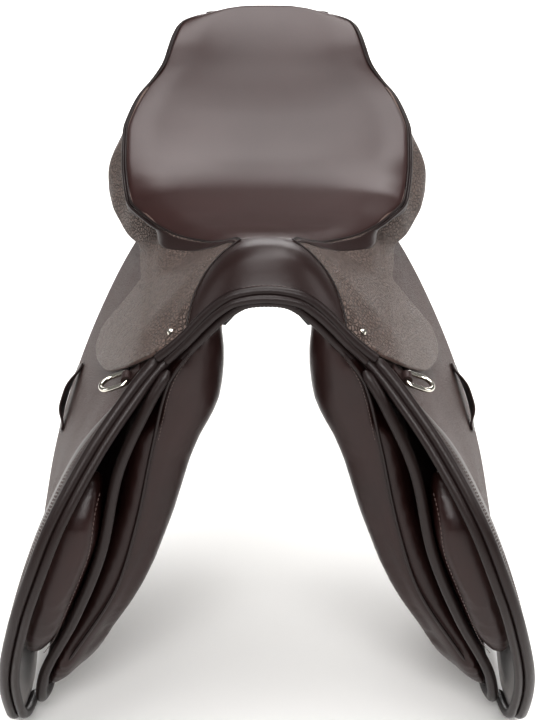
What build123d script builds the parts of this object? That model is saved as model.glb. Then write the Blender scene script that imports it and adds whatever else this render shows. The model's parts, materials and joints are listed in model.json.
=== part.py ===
from build123d import *
import os
from math import asin, atan2, cos, degrees, hypot, pi, radians, sin, sqrt

# English jumping saddle, in millimetres. +X is the rider's left, -Y the front, +Z up.
# The origin is on the symmetry plane, at the seat's deepest point along Y, and on the
# line of the horse's back under the gullet along Z.

# Driving dimensions
SIDE_RADIUS = 665.0          # curve of the flaps round the horse, seen from the front
SIDE_CENTRE_X = -436.0       # centre of that curve for the left side
SIDE_CENTRE_Z = -360.0
FRONT_FLARE = 14.0           # how far the forward edge of a flap stands out further
FLAP_THICK = 4.4             # along X
HEAD_PINCH = 12.0            # how far the flap's top draws in under the head
SKIRT_THICK = 3.6
SKIRT_STAND = 9.0            # outer face of the skirt over the outer face of the flap
SWEAT_DEPTH = 22.0           # sweat flap's outer face under the flap's outer face
SWEAT_THICK = 4.0
PANEL_DEPTH = 28.5
CHANNEL_HALF = 33.0          # half the gullet channel between the panels
COVER_THICK = 3.0
FOAM_TOP = 3.8               # depths under the seat's surface
FOAM_BOTTOM = 17.5
FOAM_RISE = 9.0              # the foam thins by this much at the seat's edge
CROSS_WEB_TOP = 19.2
LONG_WEB_TOP = 21.4
WEB_THICK = 1.4
TREE_TOP = 24.5
TREE_THICK = 10.0
SPRING_THICK = 2.0
FOLD_FRONT_Y = -200.0        # the fold that the skirt and the flap lift about
FOLD_FRONT_Z = 42.0
FOLD_SLOPE = -0.1
FOLD_GAP = 3.0               # from the fold to each cut edge
BAR_FRONT_Y = -165.0
BAR_REAR_Y = -88.0
BAR_NOTCH = 38.0             # depth under the fold that a lifted flap must clear
BILLET_YS = (-60.0, -20.0, 20.0)
BILLET_WIDTH = 24.0
BILLET_DEPTH = 10.5
BILLET_THICK = 3.5
BILLET_TOP_Z = 18.0
BILLET_BOTTOM_Z = -262.0
HOLE_RADIUS = 2.5
HOLE_PITCH = 25.0
HOLE_COUNT = 9
GUARD_DEPTHS = (6.0, 8.5, 16.0, 18.0)
GUARD_TOP_Z = -20.0
GUARD_BOTTOM_Z = -74.0
GUARD_MARGIN = 16.0
DEE_WIRE = 2.1
DEE_HALF = 10.5
DEE_LENGTH = 24.0


# Small curve helpers
def ramp(t):
    t = min(1.0, max(0.0, t))
    return t * t * (3 - 2 * t)


def smooth(points, t):
    """Value at t of a smooth curve through (t, value) points, without overshoot."""
    if t <= points[0][0]:
        return points[0][1]
    if t >= points[-1][0]:
        return points[-1][1]
    i = max(k for k in range(len(points) - 1) if points[k][0] <= t)
    slopes = [(b[1] - a[1]) / (b[0] - a[0]) for a, b in zip(points, points[1:])]

    def tangent(k):
        if k == 0 or k == len(points) - 1:
            return slopes[min(k, len(slopes) - 1)]
        left, right = slopes[k - 1], slopes[k]
        return 0.0 if left * right <= 0 else 2 * left * right / (left + right)

    (t0, v0), (t1, v1) = points[i], points[i + 1]
    step = t1 - t0
    u = (t - t0) / step
    bend = tangent(i) * step * u * (1 - u) ** 2 - tangent(i + 1) * step * u * u * (1 - u)
    return v0 + (v1 - v0) * ramp(u) + bend


def soft_max(a, b):
    return (a + b + sqrt((a - b) ** 2 + 4)) / 2


def steps(low, high, count):
    return [low + (high - low) * k / (count - 1) for k in range(count)]


# The saddle's main surfaces
SEAT_CENTRE = [(-170, 126), (-150, 122), (-110, 103), (-70, 84), (-20, 67), (20, 61), (60, 62),
               (100, 72), (145, 100), (180, 134), (215, 170), (232, 182)]
EDGE_HALF = [(-200, 65), (-188, 63), (-175, 54), (-160, 39), (-150, 22), (-110, 38), (-70, 54),
             (-20, 87), (20, 111), (55, 129), (80, 134), (100, 136), (125, 136), (145, 130),
             (165, 119), (180, 102), (195, 93), (215, 84), (225, 68), (232, 44)]
EDGE_HEIGHT = [(-200, 59), (-188, 79), (-175, 96), (-160, 111), (-150, 121), (-110, 101),
               (-70, 80), (-20, 63), (20, 58), (55, 58), (80, 68), (100, 84), (125, 101),
               (145, 114), (165, 127), (180, 142), (195, 162), (215, 175), (232, 181)]


def edge_half(y):
    return smooth(EDGE_HALF, y)


def edge_height(y):
    return smooth(EDGE_HEIGHT, y)


def seat_z(x, y):
    share = min(1.0, abs(x) / edge_half(y))
    middle = smooth(SEAT_CENTRE, y)
    return middle + (edge_height(y) - middle) * share ** 2.6


def side_x(y, z):
    """Outer face of the left flap."""
    curve = SIDE_CENTRE_X + sqrt(SIDE_RADIUS ** 2 - (z - SIDE_CENTRE_Z) ** 2)
    flare = FRONT_FLARE * ramp((-y - 120) / 160) * ramp((20 - z) / 80)
    return curve + flare - HEAD_PINCH * ramp((-y - 150) / 50) * ramp((z - 20) / 40)


FRONT_GAP = [(-340, 19), (-288, 21), (-214, 40), (-137, 55), (-83, 44), (-57, 38), (-23, 25),
             (4, 20), (40, 14)]


def sweat_x(y, z):
    """Outer face of the left sweat flap, further in towards the front for the knee block."""
    front = ramp((-y - 120) / 85)
    depth = SWEAT_DEPTH + (smooth(FRONT_GAP, z) - SWEAT_DEPTH) * front
    return side_x(y, z) - depth


STRIP_FLARE = [(50, 0), (80, 7), (100, 14), (130, 19), (165, 16)]


def skirt_x(y, z):
    """Outer face of the left skirt, from the seat's edge down over the flap."""
    top = edge_height(y)
    on_flap = side_x(y, z) + SKIRT_STAND
    miss = side_x(y, top) + SKIRT_STAND - edge_half(y)
    fade = min(40.0, 0.9 * (top - FOLD_FRONT_Z))
    forward = on_flap - miss * (1 - ramp((top - z) / fade))
    rear = edge_half(y) + smooth(STRIP_FLARE, y) * ramp((top - z) / 50)
    face = forward + (rear - forward) * ramp((y - 15) / 50)
    return soft_max(face, on_flap - 80 * ramp((z - 34) / 30))


def fold_z(y):
    return FOLD_FRONT_Z + FOLD_SLOPE * (y - FOLD_FRONT_Y)


# Solid builders
def side_outline(*runs):
    """Closed wire in the side view from runs of (y, z) points: two make a line, more a curve."""
    edges = []
    for run in runs:
        points = [Vector(0, y, z) for y, z in run]
        edges.append(Edge.make_line(*points) if len(points) == 2 else Edge.make_spline(points))
    return Wire(edges)


def side_prism(wire):
    return Solid.extrude(Face(wire), Vector(400, 0, 0))


def side_face(x_of, box, grid=(15, 17)):
    """Smooth face x = x_of(y, z) over a box of y and z."""
    (y0, z0), (y1, z1) = box
    rows = [[Vector(x_of(y, z), y, z) for z in steps(z0, z1, grid[1])]
            for y in steps(y0, y1, grid[0])]
    return Face.make_surface_from_array_of_points(rows)


def layer(x_of, wire, depth, thick, grid=(15, 17)):
    """Sheet that follows x_of, cut to an outline, its outer face at a depth."""
    room = wire.bounding_box()
    box = ((room.min.Y - 2, room.min.Z - 2), (room.max.Y + 2, room.max.Z + 2))
    face = side_face(lambda y, z: x_of(y, z) - depth, box, grid)
    return only_solids(Solid.extrude(face, Vector(-thick, 0, 0)) & side_prism(wire))


def only_solids(shape):
    solids = shape.solids()
    return solids[0] if len(solids) == 1 else Compound(solids)


def ring_wire(upper, lower):
    """Closed wire of two curves joined at their ends by short lines."""
    first = Edge.make_spline([Vector(*p) for p in upper])
    second = Edge.make_spline([Vector(*p) for p in lower])
    return Wire([first, Edge.make_line(first @ 1, second @ 0), second,
                 Edge.make_line(second @ 1, first @ 0)])


def skin_rings(rings):
    return Solid.make_loft([ring_wire(*ring) for ring in rings], ruled=True)


def roll(points, radius):
    """Round cord through points."""
    path = [Vector(*p) for p in points]
    circles = []
    for i, here in enumerate(path):
        ahead = path[min(i + 1, len(path) - 1)] - path[max(i - 1, 0)]
        circles.append(Wire.make_circle(radius, Plane(origin=here, z_dir=ahead)))
    return Solid.make_loft(circles, ruled=True)


def mirrored(shape):
    return shape.mirror(Plane.YZ)


def arc_band(outer_depth, inner_depth, top_z, bottom_z, y0, y1):
    """Band of even thickness on the side curve, between two heights."""
    def point(depth, z):
        radius = SIDE_RADIUS - depth
        turn = asin((z - SIDE_CENTRE_Z) / SIDE_RADIUS)
        return Vector(SIDE_CENTRE_X + radius * cos(turn), y0, SIDE_CENTRE_Z + radius * sin(turn))
    middle = (top_z + bottom_z) / 2
    outer = Edge.make_three_point_arc(*(point(outer_depth, z) for z in (top_z, middle, bottom_z)))
    inner = Edge.make_three_point_arc(*(point(inner_depth, z) for z in (bottom_z, middle, top_z)))
    foot = Edge.make_line(outer @ 1, inner @ 0)
    head = Edge.make_line(inner @ 1, outer @ 0)
    return Solid.extrude(Face(Wire([outer, foot, inner, head])), Vector(0, y1 - y0, 0))


def side_frame(z, depth=0.0):
    """Point on the side curve and its outward direction, as (x, z) and (nx, nz)."""
    turn = asin((z - SIDE_CENTRE_Z) / SIDE_RADIUS)
    radius = SIDE_RADIUS - depth
    point = (SIDE_CENTRE_X + radius * cos(turn), SIDE_CENTRE_Z + radius * sin(turn))
    return point, (cos(turn), sin(turn))


# Seat
def seat_layer(top, bottom, rise, inset, y0, y1, count=25):
    """Closed layer under the seat's surface between two depths, thinner by rise at its edge."""
    rings = []
    for y in steps(y0, y1, count):
        half = edge_half(y) - inset
        across = [half * k / 6 for k in range(-6, 7)]
        upper = [(x, y, seat_z(x, y) - top) for x in across]
        lower = [(x * 0.97, y, seat_z(x, y) - bottom + rise * abs(x / half) ** 4)
                 for x in reversed(across)]
        rings.append((upper, lower))
    return skin_rings(rings)


def seat_slab(depth, thick, wire):
    """Layer of even depth under the seat, cut to an outline seen from above."""
    rows = [[Vector(x, y, seat_z(x, y) - depth) for y in steps(-172, 230, 21)]
            for x in steps(-125, 125, 13)]
    face = Face.make_surface_from_array_of_points(rows)
    slab = Solid.extrude(face, Vector(0, 0, -thick))
    return only_solids(slab & Solid.extrude(Face(wire), Vector(0, 0, 400)))


def plan_outline(half_of, y0, y1, count=12):
    """Closed wire seen from above with half width half_of(y)."""
    left = [Vector(half_of(y), y, -100) for y in steps(y0, y1, count)]
    right = [Vector(-p.X, p.Y, p.Z) for p in reversed(left)]
    return Wire([Edge.make_spline(left), Edge.make_line(left[-1], right[0]),
                 Edge.make_spline(right), Edge.make_line(right[-1], left[0])])


def box_wire(x0, x1, y0, y1):
    return Wire.make_polygon([Vector(x0, y0, -100), Vector(x1, y0, -100), Vector(x1, y1, -100),
                              Vector(x0, y1, -100)])


def rail_half(y):
    return 0.66 * edge_half(y) if y > -100 else 22.0 + 0.08 * (y + 150)


def tree_frame():
    """Beech tree: two rails and a cantle in one ring, with an arched head in front."""
    outer = plan_outline(lambda y: max(26.0, rail_half(y)), -168, 222)
    hole = plan_outline(lambda y: max(8.0, rail_half(y) - 30), -120, 185)
    ring = seat_slab(TREE_TOP, TREE_THICK, outer) - seat_slab(TREE_TOP - 1, TREE_THICK + 2, hole)
    return only_solids(ring + arch(32.0, 42.0, 110.0, 98.0, -4.0, -190.0, -164.0))


def arch(outer_depth, inner_depth, outer_top, inner_top, foot_z, y0, y1):
    """Arch over the withers between two depths under the flap's curve."""
    def half(depth, top):
        sides = [Vector(side_x(0, z) - depth, y0, z) for z in steps(foot_z, 74, 4)]
        return sides + [Vector(0, y0, top)] + [Vector(-p.X, y0, p.Z) for p in reversed(sides)]
    outer = Edge.make_spline(half(outer_depth, outer_top))
    inner = Edge.make_spline(half(inner_depth, inner_top))
    feet = [Edge.make_line(outer @ 0, inner @ 0), Edge.make_line(outer @ 1, inner @ 1)]
    return Solid.extrude(Face(Wire([outer, feet[0], inner, feet[1]])), Vector(0, y1 - y0, 0))


def tree_spring():
    middle = [(rail_half(y) - 15, y) for y in steps(-90, 175, 8)]
    left = [Vector(x - 7, y, -100) for x, y in middle]
    right = [Vector(x + 7, y, -100) for x, y in reversed(middle)]
    wire = Wire([Edge.make_spline(left), Edge.make_line(left[-1], right[0]),
                 Edge.make_spline(right), Edge.make_line(right[-1], left[0])])
    return seat_slab(TREE_TOP + TREE_THICK + 0.3, SPRING_THICK, wire)


def tree_rivets():
    """Rivet heads under both springs."""
    heads = []
    for y in (-70, -25, 25, 80, 130, 165):
        x = rail_half(y) - 15
        z = seat_z(x, y) - TREE_TOP - TREE_THICK - SPRING_THICK - 3.4
        for side in (-1, 1):
            heads.append(Solid.make_cylinder(4, 1.6, Plane(origin=(side * x, y, z))))
    return Compound(heads)


def seat_webs():
    """One long web from head to cantle and two across the rails."""
    long_web = seat_slab(LONG_WEB_TOP, WEB_THICK, box_wire(-19, 19, -158, 205))
    cross = [seat_slab(CROSS_WEB_TOP, WEB_THICK, box_wire(-h, h, y - 18, y + 18))
             for y, h in ((62, 78), (122, 80))]
    return long_web, Compound(cross)


def girth_webs():
    """Two webs that pass over the rails and down to the billets on both sides."""
    bands = []
    for y0, y1 in ((-74, -34), (-6, 34)):
        rings = []
        for y in steps(y0, y1, 5):
            rail = rail_half(y) + 3
            outer = [(x, seat_z(x, y) - CROSS_WEB_TOP) for x in steps(0, rail, 4)]
            outer += [(side_x(y, z) - 12.6, z) for z in (34, 23)]
            upper = [(-x, z) for x, z in reversed(outer[1:])] + outer
            lower = [(x * 0.985, z - WEB_THICK) for x, z in reversed(upper)]
            rings.append(Wire.make_polygon([Vector(x, y, z) for x, z in upper + lower]))
        bands.append(Solid.make_loft(rings, ruled=True))
    return Compound(bands)


def pommel_ring(y, drop):
    half = edge_half(y) - 2.0 - drop * 0.5
    top = smooth([(-206, 106), (-200, 112), (-188, 123), (-175, 127), (-160, 125), (-151, 122)], y)
    foot = edge_height(y) + 1
    across = [half * k / 7 for k in range(-7, 8)]
    return [(x, top - drop - (top - foot) * abs(x / half) ** 2.3) for x in across]


def pommel_cover():
    """Hood of smooth leather over the head, from the seat's nose to the front lip."""
    rings = []
    for y in steps(-204, -152.5, 9):
        upper = [(x, y, z) for x, z in pommel_ring(y, 0.0)]
        lower = [(x, y, z) for x, z in reversed(pommel_ring(y, COVER_THICK))]
        rings.append((upper, lower))
    return skin_rings(rings)


def pommel_rolls():
    """Two rolls side by side round the front lip, over the gullet."""
    first = [(0, -209, 102), (24, -209, 94), (45, -210, 78), (57, -211, 62), (66, -213, 46)]
    second = [(0, -212, 94), (22, -212, 87), (37, -213, 72), (46, -214, 56), (52, -215, 40)]
    rolls = []
    for points, radius in ((first, 4.0), (second, 3.6)):
        both = [(-x, y, z) for x, y, z in reversed(points[1:])] + points
        rolls.append(roll(both, radius))
    return Compound(rolls)


def seat_welts():
    """Piping round the seat's edge on both sides, nose to cantle."""
    points = [(edge_half(y) + 2.4, y, edge_height(y) - 1.5) for y in steps(-142, 226, 24)]
    left = roll(points, 2.0)
    return Compound([left, mirrored(left)])


def saddle_nails():
    """Domed nails at the front corners of the skirts."""
    x = skirt_x(-192, 54) + 0.4
    head = Solid.make_cone(3.4, 1.8, 2.0, Plane(origin=(x, -192, 54), z_dir=(0.7, -0.1, 0.7)))
    return Compound([head, mirrored(head)])


def seat_facing():
    """Crescent of smooth leather between the seat's welt and the grained skirt."""
    ys = steps(22, 168, 8)
    upper = [(y, edge_height(y) - 5) for y in ys]
    lower = [(y, edge_height(y) - 7 - 22 * sin(pi * (y - 22) / 146)) for y in reversed(ys)]
    wire = side_outline(upper, (upper[-1], lower[0]), lower, (lower[-1], upper[0]))
    return layer(lambda y, z: skirt_x(y, z) + 2.9, wire, 0.0, 2.0)


# Skirts and flaps
STRIP_LOWER = [(40, 17), (60, 16.5), (80, 20), (100, 29), (130, 40), (150, 61), (166, 92)]


def skirt_top():
    """Fixed part of the skirt: from the seat's edge to the fold, and the strip behind it."""
    def under_seat(ys):
        return [(y, edge_height(y) - 6) for y in ys]
    front = under_seat((-203, -194, -188, -175, -160, -151))
    rear = under_seat((-151, -110, -70, -20, 20, 55, 80, 100, 125, 145, 167))
    fold = [(26, fold_z(26) + FOLD_GAP), (-203, fold_z(-203) + FOLD_GAP)]
    strip = list(reversed(STRIP_LOWER))
    wire = side_outline(front, rear, (rear[-1], strip[0]), strip, (strip[-1], fold[0]), fold,
                        (fold[1], front[0]))
    return layer(skirt_x, wire, 0.0, SKIRT_THICK, grid=(31, 15))


def skirt_lobe():
    """Lifting lobe of the skirt that covers the stirrup bar."""
    start, end = (-206, fold_z(-206) - FOLD_GAP), (-42, fold_z(-42) - FOLD_GAP)
    lower = [end, (-38, 2), (-27, -22), (-22, -36), (-38, -46), (-62, -43), (-84, -37),
             (-135, -17), (-180, 11), (-196, 27), start]
    return layer(skirt_x, side_outline((start, end), lower), 0.0, SKIRT_THICK)


FLAP_FRONT = [(-208, 38), (-221, 16), (-250, -28), (-280, -84), (-290, -134), (-285, -185),
              (-256, -265), (-212, -340)]
FLAP_FOOT = [(-212, -340), (-190, -360), (-150, -367), (-90, -362), (-40, -344), (8, -312),
             (36, -272)]
FLAP_REAR = [(36, -272), (45, -225), (50, -185), (60, -137), (80, -74), (98, -24), (101, 8)]


def flap():
    """Lifting part of the flap, cut away over the stirrup bar."""
    def cut(y):
        return (y, fold_z(y) - FOLD_GAP)
    front_y, rear_y = BAR_FRONT_Y - 8, BAR_REAR_Y + 24
    low_front = (front_y, fold_z(front_y) - BAR_NOTCH)
    low_rear = (rear_y, fold_z(rear_y) - BAR_NOTCH)
    rear_top = cut(101)
    wire = side_outline(FLAP_FRONT, FLAP_FOOT, FLAP_REAR, (FLAP_REAR[-1], rear_top),
                        (rear_top, cut(rear_y)), (cut(rear_y), low_rear), (low_rear, low_front),
                        (low_front, cut(front_y)), (cut(front_y), cut(-208)),
                        (cut(-208), FLAP_FRONT[0]))
    return layer(side_x, wire, 0.0, FLAP_THICK)


def flap_top():
    """Fixed top of the flap, nailed to the tree under the skirt."""
    def cut(y):
        return (y, fold_z(y) + FOLD_GAP)
    rear = (82, 41)
    wire = side_outline((cut(-194), cut(82)), (cut(82), rear), (rear, (-194, 49)),
                        ((-194, 49), cut(-194)))
    return layer(side_x, wire, 0.0, FLAP_THICK)


PAD_REAR = [(-146, -344), (-150, -290), (-170, -200), (-190, -120), (-204, -57), (-214, -8)]


def flap_pad():
    """Smooth forward pad sewn on the flap's outer face."""
    front = [(y + 7, z) for y, z in FLAP_FRONT[2:]]
    wire = side_outline(front, (front[-1], (-196, -350), PAD_REAR[0]), PAD_REAR,
                        (PAD_REAR[-1], front[0]))
    return layer(lambda y, z: side_x(y, z) + 3.8, wire, 0.0, 3.0)


def flap_edge():
    """Two rolls along the flap's forward edge, one on each face."""
    rolls = []
    for shift, radius in ((4.6, 2.6), (-8.0, 2.6)):
        points = [(side_x(y, z) + shift, y - 1.5, z) for y, z in FLAP_FRONT[1:]]
        rolls.append(roll(points, radius))
    return Compound(rolls)


def keeper():
    """Bulging strap that the stirrup leather's end passes under."""
    ends = ((30, -110), (-4, -158))
    half = 10.0
    along = (ends[1][0] - ends[0][0], ends[1][1] - ends[0][1])
    length = hypot(*along)
    across = (-along[1] / length * half, along[0] / length * half)
    rings = []
    for t in steps(0, 1, 11):
        y, z = ends[0][0] + along[0] * t, ends[0][1] + along[1] * t
        lift = 0.4 + 9.0 * ramp(sin(pi * t))
        ring = []
        for side, height in ((1, 0), (-1, 0), (-1, 2.2), (1, 2.2)):
            py, pz = y + side * across[0], z + side * across[1]
            ring.append(Vector(side_x(py, pz) + lift + height, py, pz))
        rings.append(Wire.make_polygon(ring))
    return Solid.make_loft(rings, ruled=True)


# Dees
DEE_AT = (-202.0, 14.0)
DEE_LIFT = 6.5
DEE_ALONG = (0.933, 0.0, -0.36)
DEE_AWAY = (0.36, 0.0, 0.933)


def dee_bar():
    """Middle of the dee's bar, just above the flap."""
    return Vector(side_x(*DEE_AT) + DEE_LIFT, *DEE_AT)


def dee_plane():
    """Plane of the dee: origin on its bar, X along the ring, which stands out from the flap."""
    return Plane(origin=dee_bar(), x_dir=DEE_ALONG, z_dir=DEE_AWAY)


def chape_plane():
    """Plane of the dee's chape: origin on the bar, X down the flap, Z away from it."""
    y, z = DEE_AT
    down = Vector(side_x(y, z - 5) - side_x(y, z + 5), 0, -10).normalized()
    return Plane(origin=dee_bar(), x_dir=down, z_dir=(-down.Z, 0, down.X))


def dee():
    """Plain dee: a straight bar, two short sides with round corners, and a round bow."""
    corner = 4.0
    bow_x = DEE_LENGTH - DEE_HALF
    bend = corner * (1 - sqrt(0.5))
    edges = [Edge.make_line((0, corner - DEE_HALF), (0, DEE_HALF - corner)),
             Edge.make_three_point_arc((0, DEE_HALF - corner), (bend, DEE_HALF - bend),
                                       (corner, DEE_HALF)),
             Edge.make_line((corner, DEE_HALF), (bow_x, DEE_HALF)),
             Edge.make_three_point_arc((bow_x, DEE_HALF), (DEE_LENGTH, 0), (bow_x, -DEE_HALF)),
             Edge.make_line((bow_x, -DEE_HALF), (corner, -DEE_HALF)),
             Edge.make_three_point_arc((corner, -DEE_HALF), (bend, bend - DEE_HALF),
                                       (0, corner - DEE_HALF))]
    ring = None
    for edge in edges:
        piece = sweep(Plane(origin=edge @ 0, z_dir=edge % 0) * Circle(DEE_WIRE), path=edge)
        ring = piece if ring is None else ring + piece
    return only_solids(dee_plane().location * ring)


def dee_chape():
    """Leather loop round the dee's bar, with a tail sewn to the flap."""
    plane = chape_plane()
    ring = Cylinder(DEE_WIRE + 2.4, 11) - Cylinder(DEE_WIRE + 0.4, 14)
    ring = Location((0, 0, 0), (90, 0, 0)) * ring
    tail = Location((-9.5, 0, -3.3)) * Box(13, 11, 2.0)
    foot = Location((-3.0, 0, -3.3)) * Box(2.6, 11, 2.0)
    loop = ring + tail + (foot - Location((0, 0, 0), (90, 0, 0)) * Cylinder(DEE_WIRE + 0.4, 14))
    return only_solids(loop).moved(plane.location)


# Stirrup bars
def side_block(y0, y1, z0, z1, outer, inner):
    """Straight steel block between two depths under the flap's curve at its mid height."""
    (x, z), (nx, nz) = side_frame((z0 + z1) / 2)
    tall = abs(z1 - z0)
    block = Box(outer - inner, y1 - y0, tall)
    tilt = degrees(atan2(nz, nx))
    middle = (outer + inner) / 2
    place = Location((x + nx * middle, (y0 + y1) / 2, z + nz * middle), (0, -tilt, 0))
    return place * block


def stirrup_bar():
    """Back plate, front arm and the bar that the leather hangs on, open to the rear."""
    plate = side_block(BAR_FRONT_Y - 22, BAR_REAR_Y + 6, 34, -4, -16.0, -18.6)
    boss = side_block(BAR_FRONT_Y - 21, BAR_FRONT_Y - 11, 30, 8, -17.0, -25.4)
    arm = side_block(BAR_FRONT_Y, BAR_FRONT_Y + 10, 21, 7, 2.6, -17.0)
    rod = side_block(BAR_FRONT_Y, BAR_REAR_Y, 20, 8, 2.6, -3.6)
    return only_solids(plate + boss + arm + rod)


def bar_catch():
    """Catch in line with the bar that turns up to keep the leather on."""
    return side_block(BAR_REAR_Y + 3.2, BAR_REAR_Y + 18, 19.5, 8.5, 2.2, -3.2)


# Billets and their guard
def billet(middle_y):
    """Girth strap with a pointed end and punched holes."""
    half = BILLET_WIDTH / 2
    strap = arc_band(BILLET_DEPTH, BILLET_DEPTH + BILLET_THICK, BILLET_TOP_Z, BILLET_BOTTOM_Z,
                     middle_y - half, middle_y + half)
    point = Wire.make_polygon([Vector(0, middle_y - half - 1, BILLET_TOP_Z + 30),
                               Vector(0, middle_y + half + 1, BILLET_TOP_Z + 30),
                               Vector(0, middle_y + half + 1, BILLET_BOTTOM_Z + 18),
                               Vector(0, middle_y + 4, BILLET_BOTTOM_Z),
                               Vector(0, middle_y - 4, BILLET_BOTTOM_Z),
                               Vector(0, middle_y - half - 1, BILLET_BOTTOM_Z + 18)])
    strap = strap & side_prism(point)
    for z in hole_heights():
        (x, height), (nx, nz) = side_frame(z, BILLET_DEPTH + BILLET_THICK + 5)
        drill = Solid.make_cylinder(HOLE_RADIUS, 16, Plane(origin=(x, middle_y, height),
                                                           z_dir=(nx, 0, nz)))
        strap = strap - drill
    return only_solids(strap)


def hole_heights():
    """Heights on the side curve of a billet's holes, at an even pitch along the strap."""
    low = asin((BILLET_BOTTOM_Z + 34 - SIDE_CENTRE_Z) / SIDE_RADIUS)
    pitch = HOLE_PITCH / (SIDE_RADIUS - BILLET_DEPTH)
    return [SIDE_CENTRE_Z + SIDE_RADIUS * sin(low + pitch * k) for k in range(HOLE_COUNT)]


def buckle_guard():
    """Leather sleeve round the billets that slides down over the girth buckles."""
    y0 = BILLET_YS[0] - BILLET_WIDTH / 2 - GUARD_MARGIN
    y1 = BILLET_YS[-1] + BILLET_WIDTH / 2 + GUARD_MARGIN
    outside, face, inside, back = GUARD_DEPTHS
    high = GUARD_TOP_Z, GUARD_BOTTOM_Z
    front_plate = arc_band(outside, face, *high, y0, y1)
    back_strip = arc_band(inside, back, GUARD_TOP_Z - 4, GUARD_TOP_Z - 26, y0, y1)
    walls = [arc_band(outside, back, GUARD_TOP_Z - 4, GUARD_TOP_Z - 26, a, a + 6.0)
             for a in (y0, y1 - 6.0)]
    return only_solids(front_plate + back_strip + walls[0] + walls[1])


# Sweat flaps, knee blocks and panels
SWEAT_FRONT = [(-214, 30), (-224, 4), (-234, -57), (-240, -140), (-235, -214), (-215, -288),
               (-190, -338)]
SWEAT_FOOT = [(-190, -338), (-160, -350), (-110, -346), (-60, -330), (-10, -296), (22, -256)]
SWEAT_REAR = [(22, -256), (34, -200), (46, -140), (66, -76), (84, -30), (88, 4)]


def sweat_flap():
    bar_low = ((-76, -11), (-193, -11))
    wire = side_outline(SWEAT_FRONT, SWEAT_FOOT, SWEAT_REAR, (SWEAT_REAR[-1], (88, 12)),
                        ((88, 12), (-72, 14)), ((-72, 14), bar_low[0]), bar_low,
                        (bar_low[1], (-196, 27)), ((-196, 27), SWEAT_FRONT[0]))
    return layer(sweat_x, wire, 0.0, SWEAT_THICK, grid=(21, 21))


def sweat_edges():
    """Round bead along each sweat flap's forward edge."""
    points = [(sweat_x(y, z) - SWEAT_THICK / 2, y - 4.4, z) for y, z in SWEAT_FRONT[1:]]
    left = roll(points, 4.0)
    return Compound([left, mirrored(left)])


def knee_block():
    """Block between the flap and the sweat flap, deep at its forward edge."""
    front = [(-230, -66), (-258, -92), (-266, -140), (-262, -190), (-240, -246), (-222, -262)]
    rear = [(-222, -262), (-206, -246), (-196, -190), (-196, -130), (-206, -82), (-230, -66)]
    wire = side_outline(front, rear)
    outer = layer(lambda y, z: side_x(y, z) - FLAP_THICK - 1.6, wire, 0.0, 80.0)
    box = ((-270, -266), (-190, -62))
    inner = Solid.extrude(side_face(lambda y, z: sweat_x(y, z) + 3.0, box), Vector(-200, 0, 0))
    return only_solids(outer - inner)


FRONT_ROLL = [(-336, 172), (-308, 138), (-253, 107), (-207, 81), (-146, 57), (-99, 44), (-62, 32),
              (-16, 10), (35, 0)]
PANEL_TOP = [(-206, 50), (-160, 46), (-120, 28), (-60, 20), (20, 18), (100, 30), (160, 66),
             (236, 114)]
PANEL_FOOT = [(-212, -300), (-190, -332), (-150, -342), (-100, -336), (-50, -320), (0, -280),
              (30, -220), (60, -120), (84, -40), (110, -14), (160, 6), (236, 46)]


def panel_outer(y, z):
    under_head = 25 * ramp((-y - 132) / 20) * ramp((z + 40) / 30)
    rear = 30 * ramp((y - 104) / 36)
    return sweat_x(y, z) - (PANEL_DEPTH - SWEAT_DEPTH) - under_head + rear


def panel_inner(y, z):
    thin = 11.0
    back = ramp((y + 165) / 105)
    bearing = max(0.0, 2 + 58 * ramp((y - 60) / 190) - z)
    swell = smooth(FRONT_ROLL, z) * (1 - back) + bearing * back
    return min(panel_outer(y, z) - thin, CHANNEL_HALF + swell)


def panel():
    """Stuffed panel: front roll, thin skirt under the sweat flap and cushion under the seat."""
    rings = []
    stations = (-213, -206, -190, -165, -140, -110, -80, -50, -20, 10, 40, 60, 80, 100, 120, 150, 190,
                225, 236)
    for y in stations:
        end = 0.86 if y in (stations[0], stations[-1]) else 1.0
        top, foot = smooth(PANEL_TOP, y), smooth(PANEL_FOOT, y)
        middle = (top + foot) / 2
        heights = [middle + (z - middle) * end for z in steps(top, foot, 10)]
        outer = [(panel_outer(y, z) - 7 * (1 - end) * 7, y, z) for z in heights]
        inner = [(max(panel_inner(y, z), CHANNEL_HALF) + 8 * (1 - end), y, z)
                 for z in reversed(heights)]
        rings.append((outer, inner))
    return skin_rings(rings)


def panel_welts():
    """Piping down the front of each panel."""
    points = [(86, -217, 14), (99, -220, -46), (116, -220, -129), (137, -219, -199),
              (178, -216, -270)]
    left = roll(points, 2.0)
    return Compound([left, mirrored(left)])


def cantle_facing():
    """Back of the seat, from the panels up to the cantle."""
    def wall(x, z):
        return 240 - 20 * (x / 90) ** 2
    rows = [[Vector(x, wall(x, z), z) for z in steps(114, 180, 7)] for x in steps(-92, 92, 11)]
    slab = Solid.extrude(Face.make_surface_from_array_of_points(rows), Vector(0, -4, 0))
    corners = [Vector(x, 0, z) for x, z in ((-90, 118), (90, 118), (62, 174), (-62, 174))]
    prism = Solid.extrude(Face(Wire.make_polygon(corners)), Vector(0, 400, 0))
    return only_solids(slab & prism)


def write(name, shape):
    shape.label = name
    export_step(shape, f"parts/{name}.step")


def write_pair(name, left):
    write(f"{name}_left", left)
    write(f"{name}_right", mirrored(left))


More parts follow.
